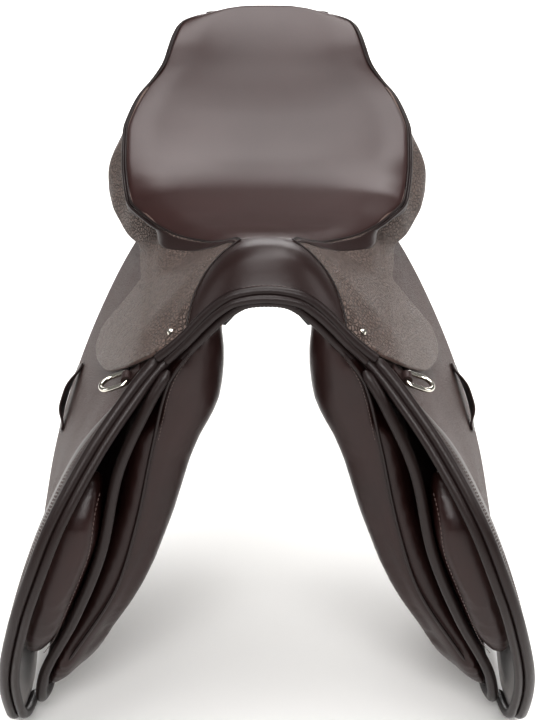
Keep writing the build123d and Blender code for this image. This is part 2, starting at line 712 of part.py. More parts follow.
def main():
    os.makedirs("parts", exist_ok=True)
    write("tree_frame", tree_frame())
    write("head_plate", arch(27.8, 30.2, 115.0, 112.6, 38.0, -188.0, -166.0))
    write("gullet_plate", arch(44.0, 46.2, 94.8, 92.6, 58.0, -188.0, -166.0))
    write_pair("tree_spring", tree_spring())
    write("tree_rivets", tree_rivets())
    long_web, cross_webs = seat_webs()
    write("seat_web_long", long_web)
    write("seat_webs_cross", cross_webs)
    write("girth_webs", girth_webs())
    write("seat_foam", seat_layer(FOAM_TOP, FOAM_BOTTOM, FOAM_RISE, 5.0, -146, 224))
    write("seat_cover", seat_layer(0.0, COVER_THICK, 0.0, 0.0, -149, 232))
    write("pommel_cover", pommel_cover())
    write("pommel_rolls", pommel_rolls())
    write("seat_welts", seat_welts())
    write("saddle_nails", saddle_nails())
    write_pair("seat_facing", seat_facing())
    write_pair("skirt_top", skirt_top())
    write_pair("skirt", skirt_lobe())
    write_pair("flap_top", flap_top())
    write_pair("flap", flap())
    write_pair("flap_pad", flap_pad())
    write_pair("flap_edge", flap_edge())
    write_pair("keeper", keeper())
    write_pair("dee", dee())
    write_pair("dee_chape", dee_chape())
    write_pair("stirrup_bar", stirrup_bar())
    write_pair("bar_catch", bar_catch())
    for number, y in enumerate(BILLET_YS, start=1):
        strap = billet(y)
        write(f"billet_left_{number}", strap)
        write(f"billet_right_{number}", mirrored(strap))
    write_pair("buckle_guard", buckle_guard())
    write_pair("sweat_flap", sweat_flap())
    write("sweat_edges", sweat_edges())
    write_pair("knee_block", knee_block())
    write_pair("panel", panel())
    write("panel_welts", panel_welts())
    write("cantle_facing", cantle_facing())


main()
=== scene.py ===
import json
import math

import bpy
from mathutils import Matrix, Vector


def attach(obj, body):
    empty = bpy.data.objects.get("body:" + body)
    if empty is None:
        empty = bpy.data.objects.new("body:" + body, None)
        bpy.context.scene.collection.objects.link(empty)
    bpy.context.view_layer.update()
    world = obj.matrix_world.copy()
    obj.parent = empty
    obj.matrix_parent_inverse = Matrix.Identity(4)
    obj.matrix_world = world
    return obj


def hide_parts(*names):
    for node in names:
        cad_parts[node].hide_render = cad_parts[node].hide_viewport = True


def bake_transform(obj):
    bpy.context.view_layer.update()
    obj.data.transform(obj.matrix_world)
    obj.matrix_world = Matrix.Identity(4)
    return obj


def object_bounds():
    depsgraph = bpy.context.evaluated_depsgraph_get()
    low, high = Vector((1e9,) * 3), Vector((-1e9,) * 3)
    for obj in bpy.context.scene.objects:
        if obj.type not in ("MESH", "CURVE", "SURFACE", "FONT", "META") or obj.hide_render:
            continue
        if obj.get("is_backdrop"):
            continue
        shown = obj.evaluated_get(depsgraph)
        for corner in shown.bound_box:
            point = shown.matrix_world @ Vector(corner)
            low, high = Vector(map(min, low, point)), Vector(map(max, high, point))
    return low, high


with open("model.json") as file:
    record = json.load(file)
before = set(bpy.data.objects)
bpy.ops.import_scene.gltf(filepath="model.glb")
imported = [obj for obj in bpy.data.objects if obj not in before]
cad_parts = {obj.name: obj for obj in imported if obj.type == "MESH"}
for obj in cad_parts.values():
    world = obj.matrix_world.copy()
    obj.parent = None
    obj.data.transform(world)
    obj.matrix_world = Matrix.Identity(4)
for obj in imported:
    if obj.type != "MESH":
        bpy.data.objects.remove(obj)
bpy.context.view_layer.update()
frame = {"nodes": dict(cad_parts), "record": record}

bl_info = {
    "name": "English jumping saddle",
    "version": (1, 0, 0),
    "blender": (4, 5, 0),
    "location": "3D View > Sidebar > Saddle",
    "description": "Builds the leather, hardware and stage of a jumping saddle round its frame",
    "category": "Object",
}

MM = 0.001
SIDES = (("left", 1), ("right", -1))


# Curves
def ramp(t):
    t = min(1.0, max(0.0, t))
    return t * t * (3 - 2 * t)


def smooth(points, t):
    """Value at t of a smooth curve through (t, value) points, without overshoot."""
    if t <= points[0][0]:
        return points[0][1]
    if t >= points[-1][0]:
        return points[-1][1]
    i = max(k for k in range(len(points) - 1) if points[k][0] <= t)
    slopes = [(b[1] - a[1]) / (b[0] - a[0]) for a, b in zip(points, points[1:])]

    def tangent(k):
        if k == 0 or k == len(points) - 1:
            return slopes[min(k, len(slopes) - 1)]
        left, right = slopes[k - 1], slopes[k]
        return 0.0 if left * right <= 0 else 2 * left * right / (left + right)

    (t0, v0), (t1, v1) = points[i], points[i + 1]
    step = t1 - t0
    u = (t - t0) / step
    bend = tangent(i) * step * u * (1 - u) ** 2 - tangent(i + 1) * step * u * u * (1 - u)
    return v0 + (v1 - v0) * ramp(u) + bend


def curve_at(points, t):
    """Point at share t of the length of a smooth curve through points."""
    path = [Vector(p) for p in points]
    gaps = [(b - a).length for a, b in zip(path, path[1:])]
    along = max(0.0, min(1.0, t)) * sum(gaps)
    i = 0
    while i < len(gaps) - 1 and along > gaps[i]:
        along -= gaps[i]
        i += 1
    u = along / gaps[i]

    def slope(k):
        if k == 0:
            return (path[1] - path[0]) / gaps[0]
        if k == len(path) - 1:
            return (path[-1] - path[-2]) / gaps[-1]
        return (path[k + 1] - path[k - 1]) / (gaps[k] + gaps[k - 1])

    bend = slope(i) * gaps[i] * u * (1 - u) ** 2 - slope(i + 1) * gaps[i] * u * u * (1 - u)
    return path[i] + (path[i + 1] - path[i]) * ramp(u) + bend


def patch(top, foot, front, rear):
    """Side-view patch between four curves of (y, z) points: u runs to the rear, v down."""
    corners = [Vector(top[0]), Vector(top[-1]), Vector(foot[0]), Vector(foot[-1])]

    def place(u, v):
        across = curve_at(top, u) * (1 - v) + curve_at(foot, u) * v
        down = curve_at(front, v) * (1 - u) + curve_at(rear, v) * u
        mixed = (corners[0] * (1 - u) * (1 - v) + corners[1] * u * (1 - v)
                 + corners[2] * (1 - u) * v + corners[3] * u * v)
        return across + down - mixed
    return place


# The saddle's surfaces, in millimetres, as its frame has them
SIDE_RADIUS = 665.0
SIDE_CENTRE_X = -436.0
SIDE_CENTRE_Z = -360.0
FRONT_FLARE = 14.0
HEAD_PINCH = 12.0
SKIRT_STAND = 9.0
SWEAT_DEPTH = 22.0
PANEL_DEPTH = 28.5
CHANNEL_HALF = 33.0
FOLD_FRONT = (-200.0, 42.0)
FOLD_SLOPE = -0.1

SEAT_CENTRE = [(-170, 126), (-150, 122), (-110, 103), (-70, 84), (-20, 67), (20, 61), (60, 62),
               (100, 72), (145, 100), (180, 134), (215, 170), (232, 182)]
EDGE_HALF = [(-200, 65), (-188, 63), (-175, 54), (-160, 39), (-150, 22), (-110, 38), (-70, 54),
             (-20, 87), (20, 111), (55, 129), (80, 134), (100, 136), (125, 136), (145, 130),
             (165, 119), (180, 102), (195, 93), (215, 84), (225, 68), (232, 44)]
EDGE_HEIGHT = [(-200, 59), (-188, 79), (-175, 96), (-160, 111), (-150, 121), (-110, 101),
               (-70, 80), (-20, 63), (20, 58), (55, 58), (80, 68), (100, 84), (125, 101),
               (145, 114), (165, 127), (180, 142), (195, 162), (215, 175), (232, 181)]
FRONT_GAP = [(-340, 20), (-288, 29), (-214, 50), (-137, 56), (-83, 44), (-57, 38), (-23, 25),
             (4, 20), (40, 14)]
STRIP_FLARE = [(50, 0), (80, 7), (100, 14), (130, 19), (165, 16)]
FRONT_ROLL = [(-336, 172), (-308, 138), (-253, 107), (-207, 81), (-146, 57), (-99, 44), (-62, 32),
              (-16, 10), (35, 0)]
PANEL_TOP = [(-206, 50), (-160, 46), (-120, 28), (-60, 20), (20, 18), (100, 30), (160, 66),
             (236, 114)]
PANEL_FOOT = [(-212, -318), (-190, -334), (-150, -342), (-100, -336), (-50, -320), (0, -280),
              (30, -220), (60, -120), (84, -40), (110, -14), (160, 6), (236, 46)]
PANEL_WELT = [(-336, 208), (-276, 181), (-199, 137), (-129, 116), (-46, 99), (17, 84), (46, 66),
              (75, 40)]
NOSE_TOP = [(34, 70), (40, 71), (54, 57), (65, 48), (83, 35), (95, 22)]


def edge_half(y):
    return smooth(EDGE_HALF, y)


def edge_height(y):
    return smooth(EDGE_HEIGHT, y)


def seat_z(x, y):
    share = min(1.0, abs(x) / edge_half(y))
    middle = smooth(SEAT_CENTRE, y)
    return middle + (edge_height(y) - middle) * share ** 2.6


def side_x(y, z):
    """Outer face of the flap."""
    curve = SIDE_CENTRE_X + math.sqrt(SIDE_RADIUS ** 2 - (z - SIDE_CENTRE_Z) ** 2)
    flare = FRONT_FLARE * ramp((-y - 120) / 160) * ramp((20 - z) / 80)
    return curve + flare - HEAD_PINCH * ramp((-y - 150) / 50) * ramp((z - 20) / 40)


def sweat_x(y, z):
    """Outer face of the sweat flap."""
    front = ramp((-y - 120) / 85)
    depth = SWEAT_DEPTH + (smooth(FRONT_GAP, z) - SWEAT_DEPTH) * front
    return side_x(y, z) - depth


def skirt_x(y, z):
    """Outer face of the skirt, from the seat's edge down over the flap."""
    top = edge_height(y)
    on_flap = side_x(y, z) + SKIRT_STAND
    miss = side_x(y, top) + SKIRT_STAND - edge_half(y)
    fade = min(40.0, 0.9 * (top - FOLD_FRONT[1]))
    forward = on_flap - miss * (1 - ramp((top - z) / fade))
    rear = edge_half(y) + smooth(STRIP_FLARE, y) * ramp((top - z) / 50)
    face = forward + (rear - forward) * ramp((y - 15) / 50)
    floor = on_flap - 80 * ramp((z - 34) / 30)
    return (face + floor + math.sqrt((face - floor) ** 2 + 4)) / 2


def fold_z(y):
    return FOLD_FRONT[1] + FOLD_SLOPE * (y - FOLD_FRONT[0])


def panel_outer(y, z):
    under_head = 25 * ramp((-y - 132) / 20) * ramp((z + 40) / 30)
    rear = 30 * ramp((y - 104) / 36)
    return sweat_x(y, z) - (PANEL_DEPTH - SWEAT_DEPTH) - under_head + rear


def panel_inner(y, z):
    back = ramp((y + 165) / 105)
    bearing = max(0.0, 2 + 58 * ramp((y - 60) / 190) - z)
    swell = smooth(FRONT_ROLL, z) * (1 - back) + bearing * back
    return min(panel_outer(y, z) - 11.0, CHANNEL_HALF + swell)


# Outlines in the side view, (y, z)
FLAP_FRONT = [(-202, 50), (-208, 38), (-221, 16), (-250, -28), (-280, -84), (-290, -134),
              (-285, -185), (-256, -265), (-212, -340)]
FLAP_FOOT = [(-212, -340), (-190, -360), (-150, -367), (-90, -362), (-40, -344), (8, -312),
             (36, -272)]
FLAP_REAR = [(84, 40), (101, 8), (98, -24), (80, -74), (60, -137), (50, -185), (45, -225),
             (36, -272)]
PAD_REAR = [(-218, 4), (-204, -57), (-190, -120), (-170, -200), (-150, -290), (-146, -350)]
SWEAT_FRONT = [(-214, 30), (-224, 4), (-234, -57), (-240, -140), (-235, -214), (-215, -288),
               (-190, -338)]
SWEAT_FOOT = [(-190, -338), (-160, -350), (-110, -346), (-60, -330), (-10, -296), (22, -256)]
SWEAT_REAR = [(88, 12), (84, -30), (66, -76), (46, -140), (34, -200), (22, -256)]
LOBE_FOOT = [(-206, 40), (-196, 26), (-180, 12), (-135, -17), (-84, -37), (-62, -43), (-38, -46)]
LOBE_REAR = [(-42, 26.2), (-39, 4), (-27, -22), (-22, -36), (-38, -46)]
STRIP_LOWER = [(40, 17), (60, 16.5), (80, 20), (100, 29), (130, 40), (150, 61), (166, 92)]


# Mesh building
def only(piece):
    bpy.ops.object.select_all(action="DESELECT")
    piece.select_set(True)
    bpy.context.view_layer.objects.active = piece


def grid(name, place, columns, rows):
    """Grid whose vertex at shares (u, v) goes to place(u, v), in millimetres."""
    bpy.ops.object.select_all(action="DESELECT")
    bpy.ops.mesh.primitive_grid_add(x_subdivisions=columns, y_subdivisions=rows, size=1,
                                    location=(0, 0, 0))
    piece = bpy.context.active_object
    piece.name = f"{name}_leather"
    for vertex in piece.data.vertices:
        x, y, z = place(vertex.co.x + 0.5, vertex.co.y + 0.5)
        vertex.co = (x * MM, y * MM, z * MM)
    return piece


def in_edit_mode(piece, *steps):
    """Runs mesh operators on the whole piece."""
    only(piece)
    bpy.ops.object.mode_set(mode="EDIT")
    bpy.ops.mesh.select_all(action="SELECT")
    for step in steps:
        step()
    bpy.ops.object.mode_set(mode="OBJECT")


def face_towards(piece, direction):
    """Flips the piece's faces if they look away from a direction."""
    total = Vector((0, 0, 0))
    for face in piece.data.polygons:
        total += face.normal * face.area
    if total.dot(Vector(direction)) < 0:
        in_edit_mode(piece, bpy.ops.mesh.flip_normals)


def modify(piece, kind, **settings):
    only(piece)
    modifier = piece.modifiers.new(kind.title(), kind)
    for key, value in settings.items():
        setattr(modifier, key, value)
    bpy.ops.object.modifier_apply(modifier=modifier.name)


def crease_where(piece, test):
    """Keeps edges whose middle passes a test sharp under subdivision."""
    mesh = piece.data
    layer = mesh.attributes.get("crease_edge")
    if not layer:
        layer = mesh.attributes.new("crease_edge", "FLOAT", "EDGE")
    for edge in mesh.edges:
        a, b = (mesh.vertices[i].co / MM for i in edge.vertices)
        if test((a + b) / 2):
            layer.data[edge.index].value = 1.0


def sheet_of(piece, thick, levels=1, back=0, rim=0):
    """Gives a face its thickness inwards and rounds its edges; back and rim pick finishes."""
    modify(piece, "SOLIDIFY", thickness=thick * MM, offset=-1.0, use_even_offset=True,
           material_offset=back, material_offset_rim=rim)
    if levels:
        modify(piece, "SUBSURF", levels=levels, render_levels=levels)


def soften(piece, angle=40):
    only(piece)
    bpy.ops.object.shade_smooth_by_angle(angle=math.radians(angle))


def close_and_cap(piece, gap=0.0001):
    """Merges the seams of a form, caps its holes and turns its faces outwards."""
    in_edit_mode(piece, lambda: bpy.ops.mesh.remove_doubles(threshold=gap),
                 lambda: bpy.ops.mesh.fill_holes(sides=0),
                 lambda: bpy.ops.mesh.normals_make_consistent(inside=False))


def tube(name, points, radius, sides=5, samples=None, wave=None):
    """Round leather roll along points; wave(share) scales its radius."""
    samples = samples or 8 * len(points)
    path = [curve_at(points, k / samples) for k in range(samples + 1)]

    def place(u, v):
        i = min(samples, round(v * samples))
        here = path[i]
        ahead = (path[min(i + 1, samples)] - path[max(i - 1, 0)]).normalized()
        side = ahead.cross(Vector((0, 1, 0.3))).normalized()
        other = ahead.cross(side)
        turn = 2 * math.pi * u
        size = radius * (wave(v) if wave else 1.0)
        if i in (0, samples):
            size *= 0.45
        return here + (side * math.cos(turn) + other * math.sin(turn)) * size
    piece = grid(name, place, 4 * sides, samples)
    close_and_cap(piece, gap=0.00005)
    return piece


def stitches(name, points, normal, pitch=4.2, length=3.0, width=0.9):
    """Row of thread stitches along points, lying on a surface with that normal."""
    total = sum((Vector(b) - Vector(a)).length for a, b in zip(points, points[1:]))
    count = max(2, int(total / pitch))
    verts, faces = [], []
    up = Vector(normal).normalized()
    for k in range(count):
        share = (k + 0.5) / count
        here = curve_at(points, share)
        ahead = (curve_at(points, min(1, share + 0.01)) - curve_at(points, max(0, share - 0.01)))
        ahead.normalize()
        side = ahead.cross(up).normalized()
        first = len(verts)
        for end in (-0.5, -0.3, 0.3, 0.5):
            size = 0.35 if abs(end) > 0.4 else 1.0
            for a, b in ((1, 0), (0, 1), (-1, 0), (0, -1)):
                offset = side * a * width / 2 * size + up * b * width / 2 * size
                verts.append((here + ahead * end * length + offset) * MM)
        for ring in range(3):
            for q in range(4):
                low, high = first + ring * 4, first + ring * 4 + 4
                faces.append((low + q, low + (q + 1) % 4, high + (q + 1) % 4, high + q))
        faces.append((first + 3, first + 2, first + 1, first))
        faces.append((first + 12, first + 13, first + 14, first + 15))
    mesh = bpy.data.meshes.new(name)
    mesh.from_pydata(verts, [], faces)
    piece = bpy.data.objects.new(name, mesh)
    bpy.context.collection.objects.link(piece)
    in_edit_mode(piece, lambda: bpy.ops.mesh.normals_make_consistent(inside=False))
    return piece


# Materials
def linear(hex_colour):
    """sRGB hex to linear RGBA."""
    values = [int(hex_colour[i:i + 2], 16) / 255 for i in (1, 3, 5)]
    return [v / 12.92 if v <= 0.04045 else ((v + 0.055) / 1.055) ** 2.4 for v in values] + [1.0]


def add(tree, kind, links=(), **settings):
    """Adds a node; settings are sockets by name or node properties, links are (socket, source)."""
    node = tree.nodes.new(kind)
    for key, value in settings.items():
        if hasattr(node, key):
            setattr(node, key, value)
        else:
            node.inputs[key.replace("_", " ")].default_value = value
    for socket, source in links:
        tree.links.new(source, node.inputs[socket])
    return node


def new_material(name):
    material = bpy.data.materials.new(name)
    material.use_nodes = True
    tree = material.node_tree
    tree.nodes.clear()
    shader = tree.nodes.new("ShaderNodeBsdfPrincipled")
    output = tree.nodes.new("ShaderNodeOutputMaterial")
    tree.links.new(shader.outputs[0], output.inputs[0])
    return material, tree, shader


def two_tones(tree, factor, dark, light):
    """Mix node between two hex colours."""
    colour = add(tree, "ShaderNodeMix", [("Factor", factor)], data_type="RGBA")
    colour.inputs[6].default_value = linear(dark)
    colour.inputs[7].default_value = linear(light)
    return colour


def leather(name, dark, light, grain_mm, grain_depth, roughness, coat=0.0, patch_mm=60.0,
            gloss=0.35, groove_shade_level=0.78):
    """Dyed cowhide: pores or a printed grain, drifting colour, wax that dulls in patches; the
    grain's grooves are darkened with painted shade.
    """
    material, tree, shader = new_material(name)
    place = add(tree, "ShaderNodeTexCoord").outputs["Object"]
    cells = add(tree, "ShaderNodeTexVoronoi", [("Vector", place)], feature="DISTANCE_TO_EDGE",
                Scale=1 / (grain_mm * MM), Randomness=0.9)
    pits = add(tree, "ShaderNodeMapRange", [("Value", cells.outputs["Distance"])],
               **{"From_Max": 0.16})
    fine = add(tree, "ShaderNodeTexNoise", [("Vector", place)], Scale=2.2 / (grain_mm * MM),
               Detail=3.0)
    blotch = add(tree, "ShaderNodeTexNoise", [("Vector", place)], Scale=1 / (patch_mm * MM),
                 Detail=4.0, Roughness=0.55)
    height = add(tree, "ShaderNodeMath", [(0, pits.outputs[0]), (1, fine.outputs["Fac"])],
                 operation="ADD")
    bump = add(tree, "ShaderNodeBump", [("Height", height.outputs[0])], Strength=grain_depth,
               Distance=0.45 * MM * grain_mm)
    colour = two_tones(tree, blotch.outputs["Fac"], dark, light)
    # Painted shade: the base colour is darkened in the grain's grooves, where shade would fall.
    groove_shade = add(tree, "ShaderNodeMapRange", [("Value", pits.outputs[0])],
               **{"To_Min": groove_shade_level, "To_Max": 1.0})
    final = add(tree, "ShaderNodeMix", [(6, colour.outputs[2])], data_type="RGBA",
                blend_type="MULTIPLY")
    final.inputs[0].default_value = 1.0
    tree.links.new(groove_shade.outputs[0], final.inputs[7])
    rough = add(tree, "ShaderNodeMapRange", [("Value", blotch.outputs["Fac"])],
                **{"To_Min": roughness - 0.06, "To_Max": roughness + 0.08})
    tree.links.new(final.outputs[2], shader.inputs["Base Color"])
    tree.links.new(rough.outputs[0], shader.inputs["Roughness"])
    tree.links.new(bump.outputs[0], shader.inputs["Normal"])
    shader.inputs["Specular IOR Level"].default_value = gloss
    shader.inputs["Coat Weight"].default_value = coat
    shader.inputs["Coat Roughness"].default_value = 0.32
    return material


def suede(name, dark, light):
    """Raw flesh side of the hide: matt, with a short nap."""
    material, tree, shader = new_material(name)
    place = add(tree, "ShaderNodeTexCoord").outputs["Object"]
    nap = add(tree, "ShaderNodeTexNoise", [("Vector", place)], Scale=700.0, Detail=6.0)
    colour = two_tones(tree, nap.outputs["Fac"], dark, light)
    bump = add(tree, "ShaderNodeBump", [("Height", nap.outputs["Fac"])], Strength=0.4,
               Distance=0.4 * MM)
    tree.links.new(colour.outputs[2], shader.inputs["Base Color"])
    tree.links.new(bump.outputs[0], shader.inputs["Normal"])
    shader.inputs["Roughness"].default_value = 0.92
    shader.inputs["Sheen Weight"].default_value = 0.3
    return material


def metal(name, colour, roughness, scratch_mm=0.6, metallic=1.0):
    """Polished or brushed metal with fine handling marks."""
    material, tree, shader = new_material(name)
    place = add(tree, "ShaderNodeTexCoord").outputs["Object"]
    marks = add(tree, "ShaderNodeTexNoise", [("Vector", place)], Scale=1 / (scratch_mm * MM),
                Detail=5.0)
    rough = add(tree, "ShaderNodeMapRange", [("Value", marks.outputs["Fac"])],
                **{"To_Min": roughness * 0.7, "To_Max": roughness * 1.4})
    bump = add(tree, "ShaderNodeBump", [("Height", marks.outputs["Fac"])], Strength=0.08,
               Distance=0.1 * MM)
    shader.inputs["Base Color"].default_value = linear(colour)
    shader.inputs["Metallic"].default_value = metallic
    tree.links.new(rough.outputs[0], shader.inputs["Roughness"])
    tree.links.new(bump.outputs[0], shader.inputs["Normal"])
    return material


def woven(name, dark, light, thread_mm):
    """Plain-woven tape: warp and weft ribs at the thread spacing."""
    material, tree, shader = new_material(name)
    place = add(tree, "ShaderNodeTexCoord").outputs["Object"]
    ribs = [add(tree, "ShaderNodeTexWave", [("Vector", place)], wave_type="BANDS",
                bands_direction=axis, Scale=0.5 / (thread_mm * MM) / math.pi).outputs["Fac"]
            for axis in ("X", "Y")]
    weave = add(tree, "ShaderNodeMath", [(0, ribs[0]), (1, ribs[1])], operation="MULTIPLY")
    colour = two_tones(tree, weave.outputs[0], dark, light)
    bump = add(tree, "ShaderNodeBump", [("Height", weave.outputs[0])], Strength=0.6,
               Distance=0.5 * MM)
    tree.links.new(colour.outputs[2], shader.inputs["Base Color"])
    tree.links.new(bump.outputs[0], shader.inputs["Normal"])
    shader.inputs["Roughness"].default_value = 0.85
    return material


def beech(name, dark, light):
    """Varnished laminated beech: thin plies seen as lines, short grain flecks."""
    material, tree, shader = new_material(name)
    place = add(tree, "ShaderNodeTexCoord").outputs["Object"]
    plies = add(tree, "ShaderNodeTexWave", [("Vector", place)], bands_direction="Z",
                Scale=90.0, Distortion=2.0, Detail=3.0)
    colour = two_tones(tree, plies.outputs["Fac"], dark, light)
    tree.links.new(colour.outputs[2], shader.inputs["Base Color"])
    shader.inputs["Roughness"].default_value = 0.4
    return material


MATERIALS = {}


def finish_of(name):
    return MATERIALS[name]


def wear(piece, *names):
    piece.data.materials.clear()
    for name in names:
        piece.data.materials.append(finish_of(name))


def settle(piece, body, finish, *nodes):
    """Puts the piece on its body and hides the frame's nodes that it stands for; the finish is not
    used.
    """
    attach(piece, body)
    if nodes:
        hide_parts(*nodes)
    return piece


# Property groups
class SaddleSizes(bpy.types.PropertyGroup):
    """Sizes of the leather work, in millimetres."""
    skirt_thick: bpy.props.FloatProperty(name="Skirt", description="Thickness of the skirts, in mm",
                                         default=3.6, min=2, max=6)
    flap_thick: bpy.props.FloatProperty(name="Flap", description="Thickness of the flaps",
                                        default=4.2, min=3, max=6)
    roll: bpy.props.FloatProperty(name="Roll", description="Radius of the flap's edge rolls",
                                  default=5.0, min=2, max=7)
    welt: bpy.props.FloatProperty(name="Welt", description="Radius of the seat's piping",
                                  default=1.7, min=0.8, max=3)


class SaddleColours(bpy.types.PropertyGroup):
    """Leather colours as sRGB hex."""
    seat: bpy.props.StringProperty(name="Seat", description="Seat leather", default="#371c19")
    grain: bpy.props.StringProperty(name="Grain", description="Grained leather",
                                    default="#63554f")
    smooth: bpy.props.StringProperty(name="Smooth", description="Smooth leather",
                                     default="#2a1816")
    edge: bpy.props.StringProperty(name="Edge", description="Edge rolls", default="#1f1413")
    thread: bpy.props.StringProperty(name="Thread", description="Stitching", default="#4b3c38")


class SADDLE_OT_finishes(bpy.types.Operator):
    """Mixes the leathers, metals and cloths"""
    bl_idname = "saddle.finishes"
    bl_label = "Finishes"
    bl_options = {"REGISTER", "UNDO"}

    def execute(self, context):
        colours = context.scene.saddle_colours
        # Drum-dyed calf, waxed: close pores, a wide soft gloss with a red cast at the edges.
        MATERIALS["seat_leather"] = leather("waxed_calf_seat", colours.seat, "#27120f", 1.3, 0.08,
                                            0.38, coat=0.3, patch_mm=120, gloss=0.5)
        # Smooth calf on the pommel, pads and facings: a little duller than the seat.
        MATERIALS["smooth_leather"] = leather("smooth_calf", colours.smooth, "#281a18", 1.3, 0.12,
                                              0.38, coat=0.15)
        # Pebble grain pressed into the hide: raised cells that catch a pale, broken light, with
        # strong painted shade in the grooves.
        MATERIALS["grain_leather"] = leather("printed_grain_hide", colours.grain, "#6f6059", 3.6,
                                             1.0, 0.46, coat=0.1, patch_mm=40, gloss=0.45, groove_shade_level=0.5)
        # Finer grained hide of the flaps.
        MATERIALS["flap_leather"] = leather("fine_grain_hide", "#3d2925", "#4c352f", 2.8, 0.8,
                                            0.46, coat=0.08)
        # Burnished and waxed rolled edges.
        MATERIALS["edge_leather"] = leather("burnished_edge_hide", colours.edge, "#271a18", 1.5,
                                             0.16, 0.36, coat=0.15)
        # Supple calf drawn over stuffing.
        MATERIALS["panel_leather"] = leather("panel_calf", "#21110f", "#331a17", 1.5, 0.14, 0.29,
                                             coat=0.2)
        # Cut and waxed edge of a thick hide: a paler line round the skirts.
        MATERIALS["cut_edge"] = leather("waxed_cut_edge", "#5b4c47", "#6d5c55", 1.0, 0.1, 0.5)
        # Firm greased strap leather.
        MATERIALS["strap_leather"] = leather("greased_strap_hide", "#2e2120", "#3c2b28", 1.4, 0.2,
                                             0.5)
        MATERIALS["suede_lining"] = suede("raw_flesh_side", "#98928f", "#bab4b1")
        MATERIALS["thread"] = suede("waxed_linen_thread", colours.thread, "#5a4a45")
        MATERIALS["webbing"] = woven("tree_webbing", "#8f8772", "#c9c1aa", 1.4)
        MATERIALS["latex_foam"] = suede("latex_foam", "#c9bd94", "#ddd2ab")
        MATERIALS["beech"] = beech("varnished_beech", "#a57f55", "#c8a374")
        MATERIALS["spring_steel"] = metal("blued_spring_steel", "#50565f", 0.35)
        MATERIALS["plate_steel"] = metal("enamelled_plate", "#1d1d1f", 0.35, metallic=0.0)
        MATERIALS["bar_steel"] = metal("forged_stainless", "#a9a9a6", 0.28)
        MATERIALS["nickel"] = metal("polished_nickel", "#d3cfc6", 0.14)
        return {"FINISHED"}


class SADDLE_OT_frame_finishes(bpy.types.Operator):
    """Gives the frame's own pieces their finishes"""
    bl_idname = "saddle.frame_finishes"
    bl_label = "Frame finishes"
    bl_options = {"REGISTER", "UNDO"}

    def execute(self, context):
        slots = {part["node"]: part["material_slot"] for part in frame["record"]["subparts"]}
        for node, piece in frame["nodes"].items():
            for slot in piece.material_slots:
                slot.material = finish_of(slots[node])
        return {"FINISHED"}


class SADDLE_OT_seat(bpy.types.Operator):
    """Stretches the seat over its foam, with piping and facings"""
    bl_idname = "saddle.seat"
    bl_label = "Seat"
    bl_options = {"REGISTER", "UNDO"}

    def execute(self, context):
        sizes = context.scene.saddle_sizes
        front_y, rear_y = -150.0, 231.0

        def place(u, v):
            across = 2 * u - 1
            y = front_y + (rear_y - front_y) * v
            half = edge_half(y)
            x = half * math.copysign(abs(across) ** 0.92, across)
            rim = max(0.0, 1 - (half - abs(x)) / min(30.0, 0.6 * half)) ** 2
            crown = 3.5 * ramp((y + 150) / 60)
            return (x, y + 3.5 * (1 - across ** 2) * ramp((y - 190) / 40),
                    seat_z(x, y) + crown * (1 - rim) - 2.0 * rim)
        seat = grid("seat_cover", place, 44, 96)
        face_towards(seat, (0, 0, 1))
        wear(seat, "seat_leather")
        sheet_of(seat, 6.0, levels=1)
        soften(seat)
        settle(seat, "saddle", "seat_leather", "seat_cover")
        self.piping(sizes)
        self.facings()
        return {"FINISHED"}

    def piping(self, sizes):
        """Two close lines of piping round the seat's edge."""
        made = []
        for side, sign in SIDES:
            for row, (out, drop, radius) in enumerate(((-0.4, 2.2, 1.05), (1.8, 4.6, 1.3))):
                points = [(sign * (edge_half(y) + out), y, edge_height(y) - drop)
                          for y in range(-146, 229, 11)]
                made.append(tube(f"seat_piping_{side}_{row + 1}", points, radius * sizes.welt / 1.4,
                                 sides=3, samples=90))
        joined(made, "seat_piping")
        wear(made[0], "edge_leather")
        soften(made[0])
        settle(made[0], "saddle", "edge_leather", "seat_welts")

    def facings(self):
        widths = [(-146, 2), (-110, 6), (-60, 9), (0, 12), (60, 13), (110, 12), (150, 10), (228, 9)]
        for side, sign in SIDES:
            top = [(y, edge_height(y) - 3) for y in range(-146, 229, 11)]
            foot = [(y, edge_height(y) - 3 - smooth(widths, y)) for y, _ in top]
            region = patch(top, foot, [top[0], foot[0]], [top[-1], foot[-1]])

            def place(u, v):
                y, z = region(u, v)
                swell = 0.7 * math.sin(math.pi * min(1.0, v)) ** 0.6
                return (sign * (skirt_x(y, z) + 0.9 + swell), y, z)
            facing = grid(f"seat_facing_{side}", place, 96, 8)
            face_towards(facing, (sign, 0, 0.3))
            wear(facing, "smooth_leather")
            sheet_of(facing, 1.4)
            soften(facing)
            settle(facing, "saddle", "smooth_leather", f"seat_facing_{side}")


def joined(pieces, name):
    """Joins pieces into the first one."""
    bpy.ops.object.select_all(action="DESELECT")
    for piece in pieces:
        piece.select_set(True)
    bpy.context.view_layer.objects.active = pieces[0]
    bpy.ops.object.join()
    pieces[0].name = name
    return pieces[0]


HOOD = [(-150, 22, 121, 123), (-160, 39, 111, 126), (-175, 54, 97, 128), (-188, 62.5, 82, 125.5),
        (-197, 66, 71, 118.5), (-203, 67, 63, 110.5), (-207, 67, 58, 104)]


def hood_point(u, v):
    """Point of the pommel's hood: u across, v from the seat's nose to the lip."""
    across = 2 * u - 1
    rows = [(k / (len(HOOD) - 1), *row) for k, row in enumerate(HOOD)]
    y, half, foot, top = (smooth([(r[0], r[i]) for r in rows], v) for i in (1, 2, 3, 4))
    return Vector((half * across, y - 3 * (1 - across ** 2) * ramp((v - 0.5) / 0.5),
                   top - (top - foot) * abs(across) ** 2.5))


